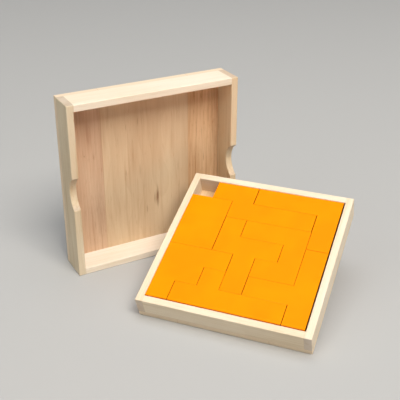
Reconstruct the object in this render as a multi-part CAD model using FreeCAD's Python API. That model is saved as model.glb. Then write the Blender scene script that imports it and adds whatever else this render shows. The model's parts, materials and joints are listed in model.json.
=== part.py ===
import FreeCAD, Part
import math
import os

# A two-part wooden puzzle box: a shallow tray packed with flat puzzle pieces, and a deeper lid
# that slips over it. The lid stands on one edge with its open side towards -Y, and the tray
# leans in front of it with its back edge raised. Lengths are millimetres and angles degrees.
#
# Origin: centre of the lid's standing edge, on the table. +Z is up, +X is along the lid's width,
# and +Y goes from the lid's open side towards its panel.

# Puzzle grid: one letter per piece, one row per line from the back of the tray to its front,
# and a dot for the one cell that is left empty.
LAYOUT = (
    ".BBAAAA",
    "GGBBBBA",
    "GGDCCCA",
    "GGDDDCE",
    "HHHDCCE",
    "HHFDEEE",
    "HFFFFFE",
)
EMPTY = "."
PIECE_NODES = {
    "A": "puzzle_piece_back_right",
    "B": "puzzle_piece_back_left",
    "C": "puzzle_piece_inner_right",
    "D": "puzzle_piece_centre",
    "E": "puzzle_piece_front_right",
    "F": "puzzle_piece_front_middle",
    "G": "puzzle_piece_left_block",
    "H": "puzzle_piece_front_left",
}

# Pieces
CELL = 18.0            # side of one grid cell
PIECE_GAP = 0.08       # gap between two neighbouring pieces laid out evenly
PIECE_THICKNESS = 16.0
PIECE_PROUD = 1.0      # from the tray's rim up to the pieces' tops
PIECE_EASE = 0.12      # broken edge all round a piece

# How each piece has settled in the play of the grid: its shift to the right and to the back, as
# a share of the play on one side. They have slid down the tilted tray, and spread sideways.
SETTLED = {
    "A": (0.20, -0.72),
    "B": (-0.22, -0.82),
    "C": (0.14, -0.88),
    "D": (-0.04, -0.90),
    "E": (0.24, -0.96),
    "F": (-0.10, -0.94),
    "G": (-0.36, -0.86),
    "H": (-0.33, -0.93),
}

# Tray
TRAY_PLAY = 1.6        # spare room across the whole grid
TRAY_WALL = 6.0
TRAY_FLOOR = 5.0       # thickness of the floor boards
TRAY_SIDE_STAVE = 33.0 # width of the two outer floor boards

# Lid
NEST_PLAY = 0.6        # clearance between tray and lid on each side when closed
LID_ROOM = 3.5         # spare depth in the lid over the tray when closed
LID_WALL = 6.0
LID_PANEL = 6.0        # thickness of the panel boards
LID_SIDE_STAVE = 36.0  # width of the two outer panel boards
NOTCH_WIDTH = 28.4     # finger notch, along the rim
NOTCH_DEPTH = 8.0      # finger notch, from the rim to its deepest point

# Edges rounded over after gluing up
EDGE_RADIUS = 0.7

# Display pose of the tray
TRAY_TILT = 21.6       # back edge raised about the front bottom edge
TRAY_TURN = 49.5       # turned clockwise from the lid, seen from above
CORNER_REACH = 10.2    # how far the tray's back left corner reaches into the lid
STAND_OFF = 13.1       # from the tray's back edge to the inner edge of the lid's right side

# Worked out from the sizes above
GRID_COUNT = len(LAYOUT)
TRAY_INSIDE = GRID_COUNT * CELL + TRAY_PLAY
TRAY_SIDE = TRAY_INSIDE + 2 * TRAY_WALL
TRAY_HEIGHT = TRAY_FLOOR + PIECE_THICKNESS - PIECE_PROUD
LID_INSIDE = TRAY_SIDE + 2 * NEST_PLAY
LID_SIDE = LID_INSIDE + 2 * LID_WALL
LID_RECESS = TRAY_HEIGHT + LID_ROOM
LID_DEPTH = LID_RECESS + LID_PANEL
RIM_Y = -LID_DEPTH / 2
PANEL_Y = RIM_Y + LID_RECESS
PAST = 1.0             # how far a cutting shape runs past the face it opens


def box(low, high):
    size = [high[i] - low[i] for i in range(3)]
    return Part.makeBox(size[0], size[1], size[2], FreeCAD.Vector(*low))


def edges_on(shape, test):
    """Edges whose two ends and middle all pass the test."""
    found = []
    for edge in shape.Edges:
        middle = edge.valueAt((edge.FirstParameter + edge.LastParameter) / 2)
        points = [vertex.Point for vertex in edge.Vertexes] + [middle]
        if all(test(point) for point in points):
            found.append(edge)
    return found


def rounded_block(low, high):
    block = box(low, high)
    return block.makeFillet(EDGE_RADIUS, block.Edges)


def boards(shell, cuts):
    """Split one glued and sanded shell into its boards, so that round edges run on across joints."""
    return {name: shell.common(box(low, high)) for name, (low, high) in cuts.items()}


def staves(name, start, end, outer_width):
    """Edges of three edge-glued boards: two outer ones of a set width and the middle one."""
    return (
        (name + "_left", start, start + outer_width),
        (name + "_centre", start + outer_width, end - outer_width),
        (name + "_right", end - outer_width, end),
    )


# ---------------------------------------------------------------- lid

def notch_cutter():
    """A cylinder across both lid sides that leaves a circular scoop in each rim."""
    half = NOTCH_WIDTH / 2
    radius = (half ** 2 + NOTCH_DEPTH ** 2) / (2 * NOTCH_DEPTH)
    centre = FreeCAD.Vector(-LID_SIDE / 2 - PAST, RIM_Y + NOTCH_DEPTH - radius, LID_SIDE / 2)
    return Part.makeCylinder(radius, LID_SIDE + 2 * PAST, centre, FreeCAD.Vector(1, 0, 0))


def lid_shell():
    half = LID_SIDE / 2
    inner = LID_INSIDE / 2
    block = rounded_block((-half, RIM_Y, 0), (half, RIM_Y + LID_DEPTH, LID_SIDE))
    cavity = box((-inner, RIM_Y - PAST, LID_WALL), (inner, PANEL_Y, LID_SIDE - LID_WALL))
    shell = block.cut(cavity).cut(notch_cutter())

    def rim_or_scoop(point):
        """On the cavity's mouth, or on a scoop's edge at either face of a side wall."""
        inside = abs(point.x) < inner + EDGE_RADIUS / 2
        at_mouth = abs(point.y - RIM_Y) < 1e-6 and inside
        by_notch = abs(point.z - half) < NOTCH_WIDTH / 2 + 1e-6 and point.y < RIM_Y + NOTCH_DEPTH + 1e-6
        return at_mouth or by_notch

    return shell.makeFillet(EDGE_RADIUS, edges_on(shell, rim_or_scoop))


def lid_boards():
    half = LID_SIDE / 2
    inner = LID_INSIDE / 2
    back = RIM_Y + LID_DEPTH
    cuts = {
        "lid_side_left": ((-half, RIM_Y, 0), (-inner, PANEL_Y, LID_SIDE)),
        "lid_side_right": ((inner, RIM_Y, 0), (half, PANEL_Y, LID_SIDE)),
        "lid_end_bottom": ((-inner, RIM_Y, 0), (inner, PANEL_Y, LID_WALL)),
        "lid_end_top": ((-inner, RIM_Y, LID_SIDE - LID_WALL), (inner, PANEL_Y, LID_SIDE)),
    }
    for name, start, end in staves("lid_panel", -half, half, LID_SIDE_STAVE):
        cuts[name] = ((start, PANEL_Y, 0), (end, back, LID_SIDE))
    return boards(lid_shell(), cuts)


# ---------------------------------------------------------------- tray, in its own frame
# Its origin is the front left bottom corner, with x to the right, y to the back and z up.

def tray_shell():
    far = TRAY_SIDE - TRAY_WALL
    block = rounded_block((0, 0, 0), (TRAY_SIDE, TRAY_SIDE, TRAY_HEIGHT))
    recess = box((TRAY_WALL, TRAY_WALL, TRAY_FLOOR), (far, far, TRAY_HEIGHT + PAST))
    shell = block.cut(recess)

    def mouth(point):
        inside = all(TRAY_WALL - 1e-6 < value < far + 1e-6 for value in (point.x, point.y))
        return abs(point.z - TRAY_HEIGHT) < 1e-6 and inside

    return shell.makeFillet(EDGE_RADIUS, edges_on(shell, mouth))


def tray_boards():
    far = TRAY_SIDE - TRAY_WALL
    floor = TRAY_FLOOR
    top = TRAY_HEIGHT
    cuts = {
        "tray_side_left": ((0, 0, floor), (TRAY_WALL, TRAY_SIDE, top)),
        "tray_side_right": ((far, 0, floor), (TRAY_SIDE, TRAY_SIDE, top)),
        "tray_end_front": ((TRAY_WALL, 0, floor), (far, TRAY_WALL, top)),
        "tray_end_back": ((TRAY_WALL, far, floor), (far, TRAY_SIDE, top)),
    }
    for name, start, end in staves("tray_floor", 0, TRAY_SIDE, TRAY_SIDE_STAVE):
        cuts[name] = ((start, 0, 0), (end, TRAY_SIDE, floor))
    return boards(tray_shell(), cuts)


def piece_outline(letter):
    """One flat face over all the cells that carry this letter."""
    squares = []
    for row, line in enumerate(LAYOUT):
        for column, mark in enumerate(line):
            if mark == letter:
                corner = FreeCAD.Vector(column * CELL, (GRID_COUNT - 1 - row) * CELL, 0)
                squares.append(Part.makePlane(CELL, CELL, corner))
    return squares[0].multiFuse(squares[1:]).removeSplitter().Faces[0]


def puzzle_piece(letter):
    face = piece_outline(letter).makeOffset2D(-PIECE_GAP / 2, 2)
    solid = face.extrude(FreeCAD.Vector(0, 0, PIECE_THICKNESS))
    solid = solid.makeChamfer(PIECE_EASE, solid.Edges)
    across, back = SETTLED[letter]
    play = TRAY_PLAY / 2
    shift_x = TRAY_WALL + (1 + across) * play
    shift_y = TRAY_WALL + (1 + back) * play
    solid.translate(FreeCAD.Vector(shift_x, shift_y, TRAY_FLOOR))
    return solid


def tray_placement():
    """Turn and tilt the tray, and stand its rounded front bottom edge on the table."""
    turn = math.radians(TRAY_TURN)
    tilt = math.radians(TRAY_TILT)
    back_x = math.sin(turn)
    back_y = math.cos(turn)
    corner_x = LID_INSIDE / 2 - (STAND_OFF + CORNER_REACH * back_y) / back_x
    corner_y = RIM_Y + CORNER_REACH
    run = TRAY_SIDE * math.cos(tilt)
    drop = EDGE_RADIUS * (math.sin(tilt) + math.cos(tilt) - 1)
    foot = FreeCAD.Vector(corner_x - run * back_x, corner_y - run * back_y, -drop)
    spin = FreeCAD.Rotation(FreeCAD.Vector(0, 0, 1), -TRAY_TURN)
    lean = FreeCAD.Rotation(FreeCAD.Vector(1, 0, 0), TRAY_TILT)
    return FreeCAD.Placement(foot, spin.multiply(lean))


# ---------------------------------------------------------------- the whole box

def build():
    nodes = dict(lid_boards())
    leaning = dict(tray_boards())
    for letter, name in PIECE_NODES.items():
        leaning[name] = puzzle_piece(letter)
    placement = tray_placement()
    for name, shape in leaning.items():
        shape.Placement = placement.multiply(shape.Placement)
        nodes[name] = shape
    return nodes


def main():
    os.makedirs("parts", exist_ok=True)
    for name, shape in build().items():
        solid = shape.Solids[0]
        solid.exportStep("parts/" + name + ".step")
        print(name, "solids", len(shape.Solids), "valid", solid.isValid(), "volume", round(solid.Volume, 1))


main()
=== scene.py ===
import json
import math

import bpy
from mathutils import Matrix, Vector


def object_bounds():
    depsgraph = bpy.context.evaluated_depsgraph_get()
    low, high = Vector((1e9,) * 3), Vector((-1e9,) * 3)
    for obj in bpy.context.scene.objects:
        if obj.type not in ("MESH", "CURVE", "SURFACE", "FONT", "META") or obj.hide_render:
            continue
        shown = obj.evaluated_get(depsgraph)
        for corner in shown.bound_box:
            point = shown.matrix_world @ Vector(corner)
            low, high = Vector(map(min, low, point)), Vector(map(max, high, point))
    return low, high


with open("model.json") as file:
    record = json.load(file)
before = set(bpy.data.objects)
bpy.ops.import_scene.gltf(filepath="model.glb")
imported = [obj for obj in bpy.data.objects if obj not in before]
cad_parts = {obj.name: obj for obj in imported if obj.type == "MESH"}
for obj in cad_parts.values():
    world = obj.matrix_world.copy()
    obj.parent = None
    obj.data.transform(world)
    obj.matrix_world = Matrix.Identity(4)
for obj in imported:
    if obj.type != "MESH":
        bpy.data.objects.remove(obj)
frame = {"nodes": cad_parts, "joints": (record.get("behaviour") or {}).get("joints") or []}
cad_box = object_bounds()

MM = 0.001

# Bare pine: the pale early wood and the tan late wood of each group of boards
LID_SIDE_LEFT_PINE = ("#DFD0B6", "#BDA27A")
LID_SIDE_RIGHT_PINE = ("#E2CEAF", "#C3A278")
LID_TOP_PINE = ("#ECE0CF", "#DAC8AA")
LID_BOTTOM_PINE = ("#F3EADE", "#DECBAF")
LID_PANEL_LEFT_PINE = ("#D8BA9C", "#B08465")
LID_PANEL_CENTRE_PINE = ("#DDC5A3", "#B99470")
LID_PANEL_RIGHT_PINE = ("#DFBC95", "#AC7B4E")
TRAY_SIDE_LEFT_PINE = ("#E8D9C0", "#D0B893")
TRAY_FRONT_PINE = ("#E8DAC4", "#D1BA96")
TRAY_PALE_PINE = ("#E9DCC8", "#D3BE9B")
TRAY_FLOOR_PINE = ("#E1C49C", "#C39A6A")
PANEL_EDGE_PINE = "#E9D6BA"    # the panel boards' own edges, paler than their faces
END_GRAIN_TINT = "#ECEBF4"
# Brown of the resin streaks, also laid as partly painted shade in the upper right of the right panel board
RESIN_AND_SHADE_BROWN = "#7A4E2C"
GLUE_TAN = "#A9825A"

# Orange lacquer
ORANGE = ("#F58800", "#F88F00")
WORN_ORANGE = "#FFAE3C"
SAWN_SIDE_ORANGE = ("#D86C00", "#E47A04")
# Painted shade: the dark brown laid on piece sides that face right or left, so the joints read as shadowed
# lines
PAINTED_JOINT_SHADE_BROWN = "#4A1C00"

# Settings for two kinds of node that are used throughout
SMOOTH = {"interpolation_type": "SMOOTHSTEP"}
COLOURS = {"data_type": "RGBA"}
UNDER = 6              # a colour mix's input for the colour underneath
OVER = 7               # and for the one that is laid over it


# ---------------------------------------------------------------- the frames that the boards lie in

def lid_axes():
    """Right, back and up of the lid, which stands square in the frame."""
    return Vector((1, 0, 0)), Vector((0, 1, 0)), Vector((0, 0, 1))


def tray_axes():
    """Right, back and up of the leaning tray, from the direction that its pieces lift in."""
    lift = next(joint for joint in frame["joints"] if joint["name"] == "lift_centre")
    up = Vector(lift["axis"]).normalized()
    level_back = Vector((-up.x, -up.y, 0)).normalized()
    right = level_back.cross(Vector((0, 0, 1)))
    return right, up.cross(right), up


def grain_frame(node, along, across):
    """Where a board's grain runs: its centre, its turn and half its sizes along, across and through."""
    through = along.cross(across)
    turn = Matrix((along, across, through)).transposed()
    points = [vertex.co for vertex in frame["nodes"][node].data.vertices]
    spans = []
    for axis in (along, across, through):
        places = [point.dot(axis) for point in points]
        spans.append((min(places), max(places)))
    middle = turn @ Vector([(low + high) / 2 for low, high in spans])
    half = [(high - low) / 2 / MM for low, high in spans]
    return {"middle": middle, "turn": turn.to_euler(), "half": half, "along": along, "across": across}


# ---------------------------------------------------------------- materials

def colour(text):
    """An sRGB hex value as linear red, green, blue and alpha."""
    parts = [int(text[i:i + 2], 16) / 255 for i in (1, 3, 5)]
    return [part / 12.92 if part <= 0.04045 else ((part + 0.055) / 1.055) ** 2.4 for part in parts] + [1.0]


def add(tree, kind, inputs=(), **settings):
    """One node. Its inputs go by place or by name, and each is a value, a node or one of its outputs."""
    made = tree.nodes.new(kind)
    for name, value in settings.items():
        setattr(made, name, value)
    placed = inputs.items() if isinstance(inputs, dict) else enumerate(inputs)
    for name, value in placed:
        if isinstance(value, bpy.types.Node):
            value = next(output for output in value.outputs if output.enabled)
        if isinstance(value, bpy.types.NodeSocket):
            tree.links.new(value, made.inputs[name])
        else:
            made.inputs[name].default_value = value
    return made


def start_material(name):
    material = bpy.data.materials.new(name)
    material.use_nodes = True
    tree = material.node_tree
    tree.nodes.clear()
    return material, tree


def grain_places(tree, grain):
    """Places on a board in millimetres: x along its grain, y across and z through it."""
    here = add(tree, "ShaderNodeTexCoord")
    return here, add(tree, "ShaderNodeMapping", {
        "Vector": here.outputs["Object"],
        "Location": grain["middle"],
        "Rotation": grain["turn"],
        "Scale": (MM, MM, MM),
    }, vector_type="TEXTURE")


def moved_by_seed(tree, places, seed, steps):
    """The same places, carried off to a part of the noise that no other board uses."""
    shift = [seed * step for step in steps]
    return add(tree, "ShaderNodeVectorMath", (places, shift), operation="ADD")


def noise_along(tree, places, length, width, detail, roughness=0.55):
    """Noise drawn out along the grain: length and width of its features in millimetres."""
    scale = (1 / length, 1 / width, 1 / width)
    stretched = add(tree, "ShaderNodeVectorMath", (places, scale), operation="MULTIPLY")
    return add(tree, "ShaderNodeTexNoise", {
        "Vector": stretched,
        "Scale": 1.0,
        "Detail": detail,
        "Roughness": roughness,
    })


def total_of(tree, base, *terms):
    """Adds up values, each times its weight, on top of a base."""
    for value, weight in terms:
        base = add(tree, "ShaderNodeMath", (value, weight, base), operation="MULTIPLY_ADD")
    return base


def growth_rings(tree, places, pith, spacing, drift):
    """Each ring darkens slowly through its early wood to a thin late line, then stops short."""
    late_wood_rise = 2.6
    wander = noise_along(tree, places, 110.0, 34.0, 2.0)
    from_pith = add(tree, "ShaderNodeVectorMath", (places, (0.0, pith[0], pith[1])), operation="SUBTRACT")
    flat = add(tree, "ShaderNodeVectorMath", (from_pith, (0.0, 1.0, 1.0)), operation="MULTIPLY")
    radius = add(tree, "ShaderNodeVectorMath", (flat,), operation="LENGTH")
    wavy = total_of(tree, radius, (wander, drift))
    rings = add(tree, "ShaderNodeMath", (wavy, spacing), operation="DIVIDE")
    phase = add(tree, "ShaderNodeMath", (rings,), operation="FRACT")
    return add(tree, "ShaderNodeMath", (phase, late_wood_rise), operation="POWER")


def facing(tree, here, direction):
    """How squarely a surface faces along a direction of the object: 1 square on and 0 edge on."""
    along = add(tree, "ShaderNodeVectorMath", (here.outputs["Normal"], direction), operation="DOT_PRODUCT")
    return add(tree, "ShaderNodeMath", (along,), operation="ABSOLUTE")


def brown_marks(tree, places, half_thickness, marks):
    """Brown streaks along the grain, on a board's front face and not through to its back; most are
    short, and a broad one is partly painted shade. Each has a place, half sizes and a depth of colour."""
    ragged = noise_along(tree, places, 9.0, 1.6, 2.0)
    total = None
    for along, across, half_length, half_width, depth in marks:
        spot = add(tree, "ShaderNodeMapping", {
            "Vector": places,
            "Location": (along, across, -half_thickness),
            "Scale": (half_length, half_width, half_thickness),
        }, vector_type="TEXTURE")
        reach = add(tree, "ShaderNodeVectorMath", (spot,), operation="LENGTH")
        ragged_reach = total_of(tree, reach, (ragged, 0.9))
        mark = add(tree, "ShaderNodeMapRange", (ragged_reach, 0.55, 1.45, depth, 0.0), **SMOOTH)
        if total is None:
            total = mark
        else:
            total = add(tree, "ShaderNodeMath", (total, mark), operation="MAXIMUM")
    return total


def near_edge(tree, here, places, half, axis, direction):
    """1 along a board's two edges, where the glue line shows, but not on the edges' own faces."""
    width = 0.35
    full_from = half - width * 0.4
    split = add(tree, "ShaderNodeSeparateXYZ", (places,))
    size = add(tree, "ShaderNodeMath", (split.outputs[axis],), operation="ABSOLUTE")
    near = add(tree, "ShaderNodeMapRange", (size, half - width, full_from, 0.0, 1.0), **SMOOTH)
    slope = facing(tree, here, direction)
    level = add(tree, "ShaderNodeMapRange", (slope, 0.1, 0.5, 1.0, 0.0), **SMOOTH)
    return add(tree, "ShaderNodeMath", (near, level), operation="MULTIPLY")


def pine_figure(tree, places, seed, pine, pith, contrast):
    """The colour of pine's long grain, and the fibre, pores and rings that its relief follows."""
    shifted = moved_by_seed(tree, places, seed, (317.0, 61.0, 23.0))
    rings = growth_rings(tree, places, pith, 2.6, 12.0)
    # Real fibres are 0.2 mm wide: these stand for bundles of them that the eye can tell apart
    fibre = noise_along(tree, shifted, 34.0, 0.8, 4.0, 0.62)
    soft_streak = noise_along(tree, shifted, 70.0, 3.4, 3.0)
    streak = add(tree, "ShaderNodeMapRange", (soft_streak, 0.52, 0.78, 0.0, 1.0), **SMOOTH)
    patch = noise_along(tree, shifted, 90.0, 22.0, 2.0)
    soft_pores = noise_along(tree, shifted, 5.0, 0.45, 1.0)
    pores = add(tree, "ShaderNodeMapRange", (soft_pores, 0.66, 0.76, 0.0, 1.0), **SMOOTH)
    soft_flecks = noise_along(tree, shifted, 13.0, 1.3, 2.0)
    flecks = add(tree, "ShaderNodeMapRange", (soft_flecks, 0.62, 0.78, 0.0, 1.0), **SMOOTH)

    tone = total_of(tree, -0.62, (rings, 0.12), (fibre, 0.46), (streak, 0.40), (patch, 1.10),
                    (pores, 0.22), (flecks, 0.36))
    tone = total_of(tree, 0.12, (tone, contrast))
    pale, tan = pine
    wood = add(tree, "ShaderNodeMix", {0: tone, UNDER: colour(pale), OVER: colour(tan)},
               clamp_factor=True, **COLOURS)
    return wood, fibre, pores, rings


def sanded_pine(name, grain, seed, pine, pith, contrast=1.0, marks=(), edge_pale=None):
    """Bare pine, planed and finely sanded, with no finish. It is matt and pale, with faint straight
    rings, long soft fibres, short dark pores and flecks, and a few brown resin streaks; a broad
    brown patch on one board is partly painted shade. Its end grain looks a little darker and
    cooler than its long grain."""
    material, tree = start_material(name)
    here, places = grain_places(tree, grain)
    wood, fibre, pores, rings = pine_figure(tree, places, seed, pine, pith, contrast)
    if marks:
        streaks = brown_marks(tree, places, grain["half"][2], marks)
        wood = add(tree, "ShaderNodeMix", {0: streaks, UNDER: wood, OVER: colour(RESIN_AND_SHADE_BROWN)}, **COLOURS)

    toward_end = facing(tree, here, grain["along"])
    end_on = add(tree, "ShaderNodeMapRange", (toward_end, 0.55, 0.9, 0.0, 1.0), **SMOOTH)
    end_grain = add(tree, "ShaderNodeMix", {0: 1.0, UNDER: wood, OVER: colour(END_GRAIN_TINT)},
                    blend_type="MULTIPLY", **COLOURS)
    wood = add(tree, "ShaderNodeMix", {0: end_on, UNDER: wood, OVER: end_grain}, **COLOURS)
    if edge_pale:
        toward_face = facing(tree, here, grain["along"].cross(grain["across"]))
        on_edge = add(tree, "ShaderNodeMapRange", (toward_face, 0.3, 0.8, 0.8, 0.0), **SMOOTH)
        wood = add(tree, "ShaderNodeMix", {0: on_edge, UNDER: wood, OVER: colour(edge_pale)}, **COLOURS)

    end_line = near_edge(tree, here, places, grain["half"][0], "X", grain["along"])
    side_line = near_edge(tree, here, places, grain["half"][1], "Y", grain["across"])
    glue = add(tree, "ShaderNodeMath", (end_line, side_line), operation="MAXIMUM")
    faint_glue = total_of(tree, 0.0, (glue, 0.30))
    wood = add(tree, "ShaderNodeMix", {0: faint_glue, UNDER: wood, OVER: colour(GLUE_TAN)}, **COLOURS)

    height = total_of(tree, 0.0, (rings, -0.3), (pores, -0.5), (fibre, 0.7))
    relief = add(tree, "ShaderNodeBump", {"Strength": 0.4, "Distance": 0.15 * MM, "Height": height})
    shader = add(tree, "ShaderNodeBsdfPrincipled", {
        "Base Color": wood,
        "Roughness": total_of(tree, 0.55, (fibre, 0.16)),
        "Specular IOR Level": 0.30,
        "Normal": relief,
    })
    add(tree, "ShaderNodeOutputMaterial", {"Surface": shader})
    return material


def satin_orange_paint(name, grain, right, up, seed):
    """Orange lacquer, sprayed thin and rubbed to a satin. It is even and strong in colour, with the
    grain of the wood just showing through as relief, a little paler where its edges are worn, and
    deeper on the sawn sides, which soak it up. The sides and edges that face right or left carry
    painted shade in dark brown, so that the open joints between them read as shadowed lines."""
    material, tree = start_material(name)
    here, places = grain_places(tree, grain)
    shifted = moved_by_seed(tree, places, seed, (211.0, 83.0, 19.0))
    cloud = noise_along(tree, shifted, 42.0, 30.0, 2.0)
    fibre = noise_along(tree, shifted, 22.0, 0.9, 3.0)
    cloudy = add(tree, "ShaderNodeMapRange", (cloud, 0.3, 0.7, 0.0, 1.0), **SMOOTH)
    paint = add(tree, "ShaderNodeMix", {
        0: cloudy,
        UNDER: colour(ORANGE[0]),
        OVER: colour(ORANGE[1]),
    }, **COLOURS)

    slope = facing(tree, here, up)
    off_top = add(tree, "ShaderNodeMapRange", (slope, 0.80, 0.97, 1.0, 0.0), **SMOOTH)
    off_side = add(tree, "ShaderNodeMapRange", (slope, 0.10, 0.40, 0.0, 1.0), **SMOOTH)
    edge = add(tree, "ShaderNodeMath", (off_top, off_side), operation="MULTIPLY")
    patchy = add(tree, "ShaderNodeMapRange", (fibre, 0.42, 0.62, 0.0, 1.0), **SMOOTH)
    rubbed = add(tree, "ShaderNodeMath", (edge, patchy), operation="MULTIPLY")
    paint = add(tree, "ShaderNodeMix", {
        0: total_of(tree, 0.0, (rubbed, 0.25)),
        UNDER: paint,
        OVER: colour(WORN_ORANGE),
    }, **COLOURS)

    sawn = add(tree, "ShaderNodeMapRange", (slope, 0.1, 0.6, 1.0, 0.0), **SMOOTH)
    sides = add(tree, "ShaderNodeMix", {
        0: fibre,
        UNDER: colour(SAWN_SIDE_ORANGE[0]),
        OVER: colour(SAWN_SIDE_ORANGE[1]),
    }, **COLOURS)
    paint = add(tree, "ShaderNodeMix", {0: sawn, UNDER: paint, OVER: sides}, **COLOURS)
    # Painted shade: sides facing right or left are mixed most of the way to dark brown, so the open joints
    # between pieces read as dark shadowed lines
    sideways = facing(tree, here, right)
    painted_joint_shade = add(tree, "ShaderNodeMapRange", (sideways, 0.35, 0.65, 0.0, 0.85), **SMOOTH)
    paint = add(tree, "ShaderNodeMix", {0: painted_joint_shade, UNDER: paint, OVER: colour(PAINTED_JOINT_SHADE_BROWN)}, **COLOURS)

    relief = add(tree, "ShaderNodeBump", {"Strength": 0.25, "Distance": 0.08 * MM, "Height": fibre})
    shader = add(tree, "ShaderNodeBsdfPrincipled", {
        "Base Color": paint,
        "Roughness": total_of(tree, 0.42, (cloud, 0.12)),
        "Specular IOR Level": 0.04,
        "Normal": relief,
    })
    add(tree, "ShaderNodeOutputMaterial", {"Surface": shader})
    return material


def studio_paper():
    """The pale matt paper that the box stands on."""
    material, tree = start_material("studio_paper")
    shader = add(tree, "ShaderNodeBsdfPrincipled", {
        "Base Color": colour("#B0B0AF"),
        "Roughness": 0.9,
        "Specular IOR Level": 0.15,
    })
    add(tree, "ShaderNodeOutputMaterial", {"Surface": shader})
    return material


def finish_node(node, material):
    """Gives a CAD node its material in every slot."""
    part = frame["nodes"][node]
    if not part.material_slots:
        part.data.materials.append(material)
    for slot in part.material_slots:
        slot.material = material


# ---------------------------------------------------------------- boards and pieces

def finish_walls(walls):
    """Each wall: its node, where its grain runs and what is across it, seed, place of the pith, pine."""
    for node, along, across, seed, pith, pine in walls:
        grain = grain_frame(node, along, across)
        wood = sanded_pine("sanded_pine_" + node, grain, seed, pine, pith)
        finish_node(node, wood)


def finish_lid():
    right, back, up = lid_axes()
    finish_walls((
        ("lid_side_left", up, back, 1.0, (70.0, 38.0), LID_SIDE_LEFT_PINE),
        ("lid_side_right", up, back, 2.0, (-64.0, 45.0), LID_SIDE_RIGHT_PINE),
        ("lid_end_top", right, back, 3.0, (52.0, -60.0), LID_TOP_PINE),
        ("lid_end_bottom", right, back, 4.0, (-58.0, 52.0), LID_BOTTOM_PINE),
    ))
    # Marks: place along and across the grain from the board's middle, half length, half width, depth
    staves = (
        ("lid_panel_left", 5.0, (95.0, 60.0), LID_PANEL_LEFT_PINE, 1.2, (
            (-43.6, 7.4, 9.0, 0.8, 0.30),
            (21.4, 2.0, 1.4, 1.0, 0.30),
            (-38.0, 13.0, 34.0, 7.0, 0.20),
        )),
        ("lid_panel_centre", 6.0, (8.0, 85.0), LID_PANEL_CENTRE_PINE, 0.9, (
            (-31.0, 9.4, 15.0, 1.9, 0.80),
            (-32.0, 6.8, 9.0, 1.0, 0.35),
            (-1.6, -19.8, 4.5, 0.9, 0.30),
            (-2.1, -6.6, 9.0, 0.9, 0.25),
            (-41.1, -1.0, 6.0, 1.0, 0.30),
            (39.9, -18.5, 4.5, 0.6, 0.35),
            (43.9, -7.4, 5.5, 0.7, 0.30),
            (-5.6, 30.2, 8.0, 0.8, 0.22),
        )),
        ("lid_panel_right", 8.0, (-90.0, 55.0), LID_PANEL_RIGHT_PINE, 1.4, (
            (-2.1, -2.3, 7.0, 0.7, 0.35),
            (26.0, -9.5, 14.0, 0.5, 0.30),
            (22.0, -4.5, 12.0, 0.5, 0.25),
            # A broad darker patch over the upper right of this board, beside the top and right walls:
            # partly the board's darker figure, partly painted shade of the recess corner
            (48.0, 12.0, 60.0, 15.0, 0.26),
        )),
    )
    for node, seed, pith, pine, contrast, marks in staves:
        grain = grain_frame(node, up, right)
        wood = sanded_pine("sanded_pine_" + node, grain, seed, pine, pith, contrast, marks, PANEL_EDGE_PINE)
        finish_node(node, wood)


def finish_tray():
    right, back, up = tray_axes()
    finish_walls((
        ("tray_side_left", back, up, 11.0, (66.0, 44.0), TRAY_SIDE_LEFT_PINE),
        ("tray_side_right", back, up, 12.0, (-61.0, 50.0), TRAY_PALE_PINE),
        ("tray_end_front", right, up, 13.0, (57.0, -48.0), TRAY_FRONT_PINE),
        ("tray_end_back", right, up, 14.0, (-68.0, 41.0), TRAY_PALE_PINE),
    ))
    staves = (
        ("tray_floor_left", 15.0, (88.0, 62.0), 1.1),
        ("tray_floor_centre", 16.0, (-6.0, 90.0), 0.9),
        ("tray_floor_right", 17.0, (-84.0, 58.0), 1.2),
    )
    for node, seed, pith, contrast in staves:
        grain = grain_frame(node, back, right)
        wood = sanded_pine("sanded_pine_" + node, grain, seed, TRAY_FLOOR_PINE, pith, contrast, (),
                           PANEL_EDGE_PINE)
        finish_node(node, wood)


def finish_pieces():
    """Grain runs front to back in every other piece and from side to side in the rest."""
    right, back, up = tray_axes()
    first_seed = 21.0
    pieces = sorted(name for name in frame["nodes"] if name.startswith("puzzle_piece_"))
    for count, node in enumerate(pieces):
        along, across = (right, back) if count % 2 else (back, right)
        grain = grain_frame(node, along, across)
        paint = satin_orange_paint("satin_orange_paint_" + node, grain, right, up, first_seed + count)
        finish_node(node, paint)


# ---------------------------------------------------------------- studio

def make_floor():
    reach = 4.0
    gap_below = 0.05 * MM
    mesh = bpy.data.meshes.new("studio_floor")
    corners = [(-reach, -reach, 0), (reach, -reach, 0), (reach, reach, 0), (-reach, reach, 0)]
    mesh.from_pydata(corners, [], [(0, 1, 2, 3)])
    floor = bpy.data.objects.new("studio_floor", mesh)
    floor.location.z = cad_box[0].z - gap_below
    mesh.materials.append(studio_paper())
    bpy.context.scene.collection.objects.link(floor)


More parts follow.
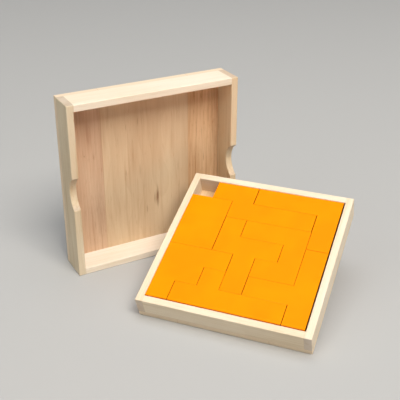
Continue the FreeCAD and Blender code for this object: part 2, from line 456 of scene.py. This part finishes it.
def softbox(name, place, target, side, power, tint):
    """A square softbox that faces its target."""
    data = bpy.data.lights.new(name, "AREA")
    data.shape = "RECTANGLE"
    data.size = side
    data.size_y = side
    data.energy = power
    data.color = colour(tint)[:3]
    lamp = bpy.data.objects.new(name, data)
    lamp.location = place
    lamp.rotation_euler = (Vector(target) - Vector(place)).to_track_quat("-Z", "Y").to_euler()
    bpy.context.scene.collection.objects.link(lamp)


def make_room():
    """Pale surroundings near the horizon, and a dimmer room above."""
    world = bpy.data.worlds.new("studio_air")
    world.use_nodes = True
    tree = world.node_tree
    backdrop = tree.nodes["Background"]
    backdrop.inputs["Color"].default_value = colour("#F1F2F4")
    direction = add(tree, "ShaderNodeTexCoord").outputs["Generated"]
    height = add(tree, "ShaderNodeSeparateXYZ", (direction,)).outputs["Z"]
    glow = add(tree, "ShaderNodeMapRange", (height, 0.04, 0.16, 0.52, 0.10), **SMOOTH)
    tree.links.new(glow.outputs["Result"], backdrop.inputs["Strength"])
    bpy.context.scene.world = world


def light_studio():
    """A warm key from high in front, a wide cool top light, and a weak fill from the left."""
    make_room()
    middle = (cad_box[0] + cad_box[1]) / 2
    softbox("key_softbox", (0.06, -2.22, 2.94), middle, 1.8, 139.0, "#FFF9F1")
    softbox("top_softbox", (0.0, 0.0, 4.0), middle, 3.0, 88.0, "#F3F5F8")
    softbox("left_softbox", (-3.6, -0.3, 2.3), middle, 3.0, 36.0, "#F4F6EE")


def place_camera():
    """Stands about 0.6 m away in front of the lid and to its left, and looks down at the box."""
    data = bpy.data.cameras.new("camera")
    data.sensor_width = 36.0
    data.lens = 69.53
    data.clip_start = 0.01
    camera = bpy.data.objects.new("camera", data)
    camera.location = (-0.2501, -0.5531, 0.3573)
    camera.rotation_euler = (math.radians(62.93), math.radians(-0.06), math.radians(-28.28))
    bpy.context.scene.collection.objects.link(camera)
    bpy.context.scene.camera = camera


finish_lid()
finish_tray()
finish_pieces()
make_floor()
light_studio()
place_camera()
bpy.context.scene.view_settings.view_transform = "Standard"
